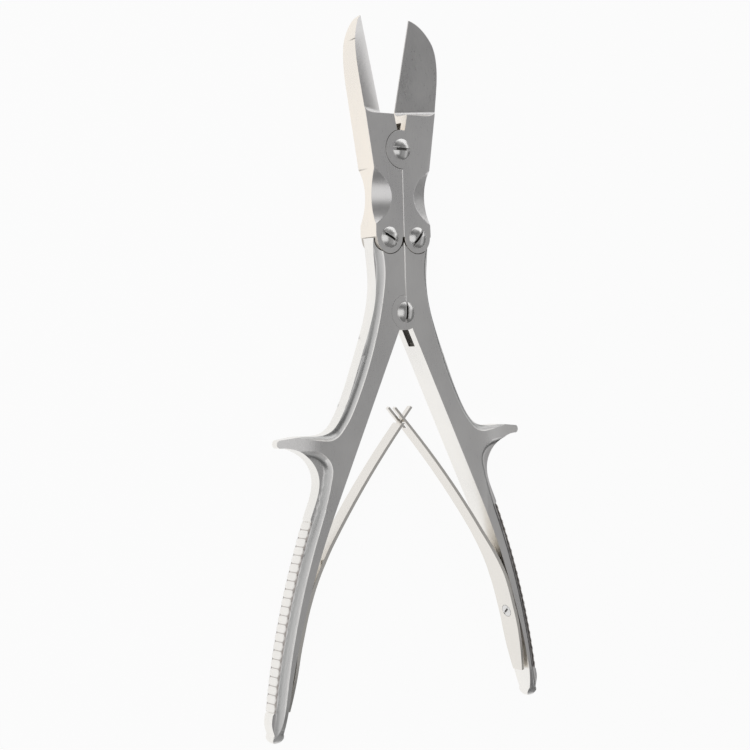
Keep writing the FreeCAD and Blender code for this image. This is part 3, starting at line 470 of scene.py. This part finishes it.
def markFaces(form, hasFlutes):
    # marks for painted light: 1 on upright walls for a painted reflection, on the hidden faces of the joints
    # for painted shade, and in the flutes for painted shade
    walls = form.faces.layers.float.new("sideShare")
    inners = form.faces.layers.float.new("paintedShadeShare")
    hollows = form.faces.layers.float.new("paintedFluteShadeShare")
    for face in form.faces:
        upright = abs(face.normal.z)
        tilt = math.degrees(math.acos(min(1.0, upright)))
        face[walls] = risen(tilt, marks["wallFrom"], marks["wallRise"])
        if hasFlutes and face.calc_area() < marks["fluteArea"]:
            rise = risen(tilt, marks["fluteFrom"], marks["fluteRise"])
            face[hollows] = rise * (1 - marks["fade"] * risen(tilt, marks["fadeFrom"], marks["fadeRise"]))
        # painted shade on the faces hidden inside the joints
        x, y, z = (value / mm for value in face.calc_center_median())
        for (centreX, centreY), radius in gaps["discs"]:
            reach = math.hypot(x - centreX, y - centreY)
            onRing = upright < 0.3 and radius - gaps["slack"] < reach < radius + gaps["slack"]
            onLayer = upright > 0.9 and 0.5 < z < 9.5 and reach < radius + gaps["slack"]
            if onRing or onLayer:
                face[inners] = 1.0 if centreX == 0 else gaps["linkShade"]


def softenHorn(form):
    # the taper's straight start becomes a gentle bend:
    # height = 10 - slope * w * ln(1 + e^((x - start) / w)), w being the blend
    slope = (horn["startHeight"] - horn["endHeight"]) / (horn["taperEnd"] - horn["taperStart"])
    centre = horn["startHeight"] / 2
    for place in np.linspace(*horn["cuts"]):
        for sign in (-1, 1):
            bmesh.ops.bisect_plane(form, geom=form.verts[:] + form.edges[:] + form.faces[:],
                                   dist=0.0001 * mm, plane_co=(sign * place * mm, 0, 0), plane_no=(1, 0, 0))
    for vertex in form.verts:
        x, y, z = (value / mm for value in vertex.co)
        if not horn["from"] < abs(x) < horn["to"] or y < horn["below"]:
            continue
        away = abs(x) - horn["taperStart"]
        solid = slope * max(0.0, away)
        soft = slope * horn["blend"] * math.log1p(math.exp(away / horn["blend"]))
        depth = centre - abs(z - centre)
        if depth < solid + horn["skin"]:
            share = 1 - max(0.0, depth - solid) / horn["skin"]
            z += math.copysign(soft - solid, centre - z) * share
            vertex.co.z = z * mm


def joinFlats(form):
    bmesh.ops.dissolve_limit(form, angle_limit=math.radians(rounding["flatAngle"]), verts=form.verts,
                             edges=form.edges, delimit={"SHARP"})


def roundNow(form, lowest, width, segments, clamp):
    # rounds the edges whose weight is over the lowest, and takes their weight away
    weights = form.edges.layers.float["bevel_weight_edge"]
    edges = [edge for edge in form.edges if edge[weights] > lowest]
    bmesh.ops.bevel(form, geom=edges, offset=width * mm, segments=segments, affect="EDGES",
                    profile=0.5, clamp_overlap=clamp)
    for edge in form.edges:
        edge[weights] = 0.0 if edge[weights] > lowest else edge[weights]


def roundLater(piece, clamp):
    edge = piece.modifiers.new("edge", "BEVEL")
    edge.limit_method = "WEIGHT"
    edge.width = rounding["seamEdge"] * mm
    edge.segments = rounding["segments"]
    edge.miter_outer = "MITER_ARC"
    edge.harden_normals = True
    edge.use_clamp_overlap = clamp


def pieceFrom(form, node, steel, slot, body):
    mesh = bpy.data.meshes.new(node + "_shape")
    form.to_mesh(mesh)
    form.free()
    return addPiece(node + "_shape", mesh, steel, slot, body, node)


def makeJaw(node):
    form = mergedForm(node, rounding["bodyEdge"])
    markFaces(form, False)
    closeGaps(form)
    joinFlats(form)
    roundLater(pieceFrom(form, node, "jaw", "body_steel", node), False)


def makeHandle(node):
    # the seam's edges are rounded by themselves, because the others are held back where edges lie close
    form = mergedForm(node, rounding["bodyEdge"])
    markFaces(form, True)
    closeGaps(form)
    lowerGrip(form)
    joinFlats(form)
    softenHorn(form)
    roundNow(form, 0.99, rounding["seamEdge"], rounding["segments"], False)
    roundLater(pieceFrom(form, node, "handle", "body_steel", node), True)


def makeSpring(node, handle, sign):
    # the leaf's foot stays on its handle and the rest of it turns with the joint
    form = mergedForm(node, rounding["springEdge"])
    # painted reflection: the whole leaf takes the pale side colour
    walls = form.faces.layers.float.new("sideShare")
    for face in form.faces:
        face[walls] = 1.0
    joinFlats(form)
    roundNow(form, 0, rounding["springEdge"], rounding["springSegments"], True)
    leaf = pieceFrom(form, node, "spring", "spring_steel", None)
    ends = [(sign * bend[end][0] * mm, bend[end][1] * mm, bend["height"] * mm) for end in ("start", "end")]
    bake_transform(leaf, handle, node, start=ends[0], end=ends[1])


for side, sign in sides:
    makeJaw(side + "_jaw")
    makeHandle(side + "_handle")
    makeSpring(side + "_spring", side + "_handle", sign)
print("jaws, handles and springs rounded")


# screws

screw = {
    "headRadius": 4.0,  # mm
    "rimHeight": 0.32,
    "headHeight": 1.25,
    "shankRadius": 2.5,
    "length": 9.8,
    "slotWidth": 0.95,
    "slotFloor": -0.15,  # above the face that the head sits on
    "slotEdge": 0.10,
}

springScrew = {
    "headRadius": 2.38,
    "rimHeight": 0.05,
    "headHeight": 0.45,
    "shankRadius": 1.25,
    "length": 5.2,
    "slotWidth": 0.8,
    "slotFloor": -0.2,
    "slotEdge": 0.08,
    "place": (50.885, -98.86, 5.0),  # on the right handle
    "outward": (-0.9634, -0.2681, 0),
    "slotAngle": 40,
}

turning = {  # mm and degrees, for both kinds of screw
    "rimInset": 0.12,  # from the head's side to the dome's edge, and the height of the rounded rim
    "rimRound": (0.05, 0.03),
    "tip": 0.2,
    "pointsAcross": 33,
    "lastRow": 84,
    "sharpAngle": 38,
    "double": 0.001,
}


def screwHead(size):
    # a cap of a sphere over rows that run along the slot: a row is the chord at y = R sin(a) and
    # x = half the chord times -1 to 1; z is the cap's height, or the slot's floor between its walls
    dome = size["headHeight"] - size["rimHeight"]
    inner = size["headRadius"] - turning["rimInset"]
    ball = (inner ** 2 + dome ** 2) / (2 * dome)
    half, edge, count = size["slotWidth"] / 2, size["slotEdge"], turning["pointsAcross"]
    coarse = inner * np.sin(np.radians(np.linspace(-turning["lastRow"], turning["lastRow"], count)))
    coarse = coarse[np.abs(coarse) > half + edge * 1.6]
    walls = np.array([half - 0.012, half, half + edge * 0.3, half + edge])
    rows = np.sort(np.concatenate([coarse, walls, -walls, np.linspace(-half * 0.8, half * 0.8, 5)]))
    along = np.sin(np.radians(np.linspace(-90, 90, count)))
    y = np.repeat(rows[:, None], count, axis=1)
    x = along[None, :] * np.sqrt(inner ** 2 - rows[:, None] ** 2)
    cap = np.sqrt(ball ** 2 - x ** 2 - y ** 2) - (ball - size["headHeight"])
    outside = np.clip((np.abs(y) - half) / edge, 0, 1)
    lip = cap - edge * 0.7 * (1 - np.sqrt(1 - (1 - outside) ** 2))
    z = np.where(np.abs(y) < half - 0.006, np.minimum(lip, size["slotFloor"]), lip)
    return np.stack([x, y, z], axis=-1)


def screwSides(size, rim):
    # the head's outline carried down: each ring keeps the rim's angles and has its own radius and height;
    # on the head a ring stays under the rim, so it dips where the slot runs out
    radius, low, shank, end = size["headRadius"], size["rimHeight"], size["shankRadius"], -size["length"]
    inset, (roundIn, roundDown), tip = turning["rimInset"], turning["rimRound"], turning["tip"]
    angle = np.arctan2(rim[:, 1], rim[:, 0])
    rings = [(radius - roundIn, low - roundDown), (radius, low - inset), (radius, 0.0), (shank, 0.0),
             (shank, end + tip), (shank - tip, end)]
    points = []
    for reach, height in rings:
        onHead = height >= 0 and reach > shank
        z = np.minimum(height, rim[:, 2] + height - low) if onHead else np.full(len(rim), height)
        points.append(np.stack([reach * np.cos(angle), reach * np.sin(angle), z], axis=-1))
    return np.array(points)


def standing(points, place, outward, slotAngle):
    # the screw's axis turned outwards, its slot turned about that axis, and all of it moved to its place
    out = np.array(outward, dtype=float)
    out = out / np.linalg.norm(out)
    across = np.cross((0, 1, 0) if abs(out[1]) < 0.9 else (1, 0, 0), out)
    across = across / np.linalg.norm(across)
    up = np.cross(out, across)
    turn = math.radians(slotAngle)
    first = across * math.cos(turn) + up * math.sin(turn)
    second = np.cross(out, first)
    return points @ np.array([first, second, out]) + np.array(place)


def closeSeams(mesh):
    # doubles merged, normals outwards, faces smooth, sharp edges kept
    form = bmesh.new()
    form.from_mesh(mesh)
    bmesh.ops.remove_doubles(form, verts=form.verts, dist=turning["double"] * mm)
    bmesh.ops.dissolve_degenerate(form, edges=form.edges, dist=turning["double"] / 2 * mm)
    bmesh.ops.recalc_face_normals(form, faces=form.faces)
    for face in form.faces:
        face.smooth = True
    sharp = math.radians(turning["sharpAngle"])
    for edge in form.edges:
        edge.smooth = not (edge.is_manifold and edge.calc_face_angle() > sharp)
    form.to_mesh(mesh)
    form.free()


def domedScrew(node, size, place, outward, slotAngle, body):
    head = screwHead(size)
    index = np.arange(head[..., 0].size).reshape(head.shape[:2])
    rim = np.concatenate([index[0], index[1:-1, -1], index[-1, ::-1], index[-2:0:-1, 0]])
    flat = head.reshape(-1, 3)
    sides = screwSides(size, flat[rim])
    points = np.concatenate([flat, sides.reshape(-1, 3)])
    loops = np.vstack([rim, len(flat) + np.arange(sides[..., 0].size).reshape(sides.shape[:2])])
    loops = np.hstack([loops, loops[:, :1]])
    walls = np.roll(quadsOf(loops)[:, ::-1], 1, axis=1)
    faces = quadsOf(index).tolist() + walls.tolist() + [loops[-1, :-1].tolist()]
    mesh = newMesh(node + "_shape", standing(points, place, outward, slotAngle), faces)
    # painted shade in the screw's slot
    slotEdge = size["slotWidth"] / 2 + size["slotEdge"] * 0.2
    inSlot = (np.abs(points[:, 1]) < slotEdge) & (np.arange(len(points)) < len(flat))
    markPoints(mesh, "paintedShadeShare", inSlot & (points[:, 2] < size["rimHeight"]))
    closeSeams(mesh)
    addPiece(node + "_shape", mesh, "screw", "screw_steel", body, node)


for node, pivot, slotAngle, body in (
    ("front_pivot_screw", "front", -2, "right_jaw"),
    ("rear_pivot_screw", "rear", 86, "right_handle"),
    ("left_link_screw", "leftLink", -30, "left_jaw"),
    ("right_link_screw", "rightLink", 50, "right_jaw"),
):
    domedScrew(node, screw, (*pivots[pivot], 10.0), (0, 0, 1), slotAngle, body)

for side, sign in sides:
    mirror = np.array([sign, 1, 1])
    domedScrew(side + "_spring_screw", springScrew, springScrew["place"] * mirror,
               springScrew["outward"] * mirror, springScrew["slotAngle"] * sign, side + "_handle")
print("screws made")


# studio

studio = {
    "floorSize": 3.0,  # m
    "floorColour": (0.93, 0.93, 0.93, 1),
    "floorShare": 0.93,  # how much of the floor's white doesn't take shadow
    "floorDrop": 0.02,  # mm under the part
    "skyStrength": 0.17,
    # place in mm, size in mm, brightness where a white card reads 1
    "lamps": [
        ("frontBox", (760, -60, 1050), (1000, 560), 0.18),
        ("rightBox", (1100, -40, 690), (900, 400), 0.45),
        ("overBox", (-290, 0, 1150), (740, 1300), 0.75),
        ("rightLow", (1150, 430, 450), (420, 420), 0.8),
        ("leftWall", (-700, 0, 330), (3400, 680), 0.62),
        ("backWall", (450, 1050, 480), (1700, 750), 1.0),
        ("backHigh", (380, 950, 1000), (700, 500), 0.2),
        ("nearBox", (0, -1150, 480), (1900, 800), 0.42),
    ],
}

view = {
    "yaw": 36.58,  # degrees, towards the left handle
    "pitch": 1.06,
    "roll": 1.53,
    "distance": 646.12,  # mm
    "focus": 1691.49,  # pixels
    "picture": 750,
    "sensor": 36,  # mm
    "centre": (-7.97, -2.29),  # mm, on the floor
}


def makeFloor():
    half = studio["floorSize"] / 2
    corners = [(-half, -half, 0), (half, -half, 0), (half, half, 0), (-half, half, 0)]
    mesh = bpy.data.meshes.new("floor")
    mesh.from_pydata(corners, [], [(0, 1, 2, 3)])
    floor = bpy.data.objects.new("floor", mesh)
    bpy.context.scene.collection.objects.link(floor)
    shader = Shader(bpy.data.materials.new("paleFloor"))
    seen = shader.add("LightPath", {})
    shown = (seen["Is Camera Ray"] + seen["Is Glossy Ray"] + seen["Is Transmission Ray"]).clipped()
    matt = shader.add("BsdfDiffuse", {}, studio["floorColour"])["BSDF"]
    glow = shader.add("Emission", {}, white, 1.0)["Emission"]
    mixed = shader.add("MixShader", {}, shown * studio["floorShare"], matt, glow)["Shader"]
    mesh.materials.append(shader.finish(mixed))
    floor.location.z = -studio["floorDrop"] * mm


def makeSky():
    world = bpy.data.worlds.new("studioSky")
    bpy.context.scene.world = world
    shader = Shader(world)
    seen = shader.add("LightPath", {})["Is Camera Ray"]
    soft = shader.add("Background", {}, white, studio["skyStrength"])["Background"]
    plain = shader.add("Background", {}, white, 1.0)["Background"]
    shader.finish(shader.add("MixShader", {}, seen, soft, plain)["Shader"], "OutputWorld")


def makeLamps():
    for name, place, (width, height), brightness in studio["lamps"]:
        lamp = bpy.data.lights.new(name, "AREA")
        lamp.shape = "RECTANGLE"
        lamp.size, lamp.size_y = width * mm, height * mm
        lamp.energy = brightness * math.pi * lamp.size * lamp.size_y
        holder = bpy.data.objects.new(name, lamp)
        bpy.context.scene.collection.objects.link(holder)
        holder.location = Vector(place) * mm
        holder.rotation_euler = (-holder.location).to_track_quat("-Z", "Y").to_euler()


def makeCamera():
    yaw, pitch, roll = (math.radians(view[key]) for key in ("yaw", "pitch", "roll"))
    cosYaw, sinYaw, cosPitch, sinPitch = math.cos(yaw), math.sin(yaw), math.cos(pitch), math.sin(pitch)
    cosRoll, sinRoll = math.cos(roll), math.sin(roll)
    about = Matrix(((cosYaw, 0, sinYaw), (0, 1, 0), (-sinYaw, 0, cosYaw)))
    tipped = Matrix(((1, 0, 0), (0, cosPitch, -sinPitch), (0, sinPitch, cosPitch)))
    rolled = Matrix(((cosRoll, -sinRoll, 0), (sinRoll, cosRoll, 0), (0, 0, 1)))
    turn = (rolled @ tipped @ about).transposed()
    data = bpy.data.cameras.new("camera")
    data.lens = view["focus"] / view["picture"] * view["sensor"]
    data.sensor_width, data.sensor_fit = view["sensor"], "HORIZONTAL"
    data.clip_start, data.clip_end = 0.01, 20
    camera = bpy.data.objects.new("camera", data)
    bpy.context.scene.collection.objects.link(camera)
    place = Vector((*view["centre"], 0)) + turn @ Vector((0, 0, view["distance"]))
    camera.matrix_world = Matrix.Translation(place * mm) @ turn.to_4x4()
    bpy.context.scene.camera = camera


makeFloor()
makeSky()
makeLamps()
makeCamera()
bpy.context.scene.view_settings.view_transform = "Standard"
print("studio set")
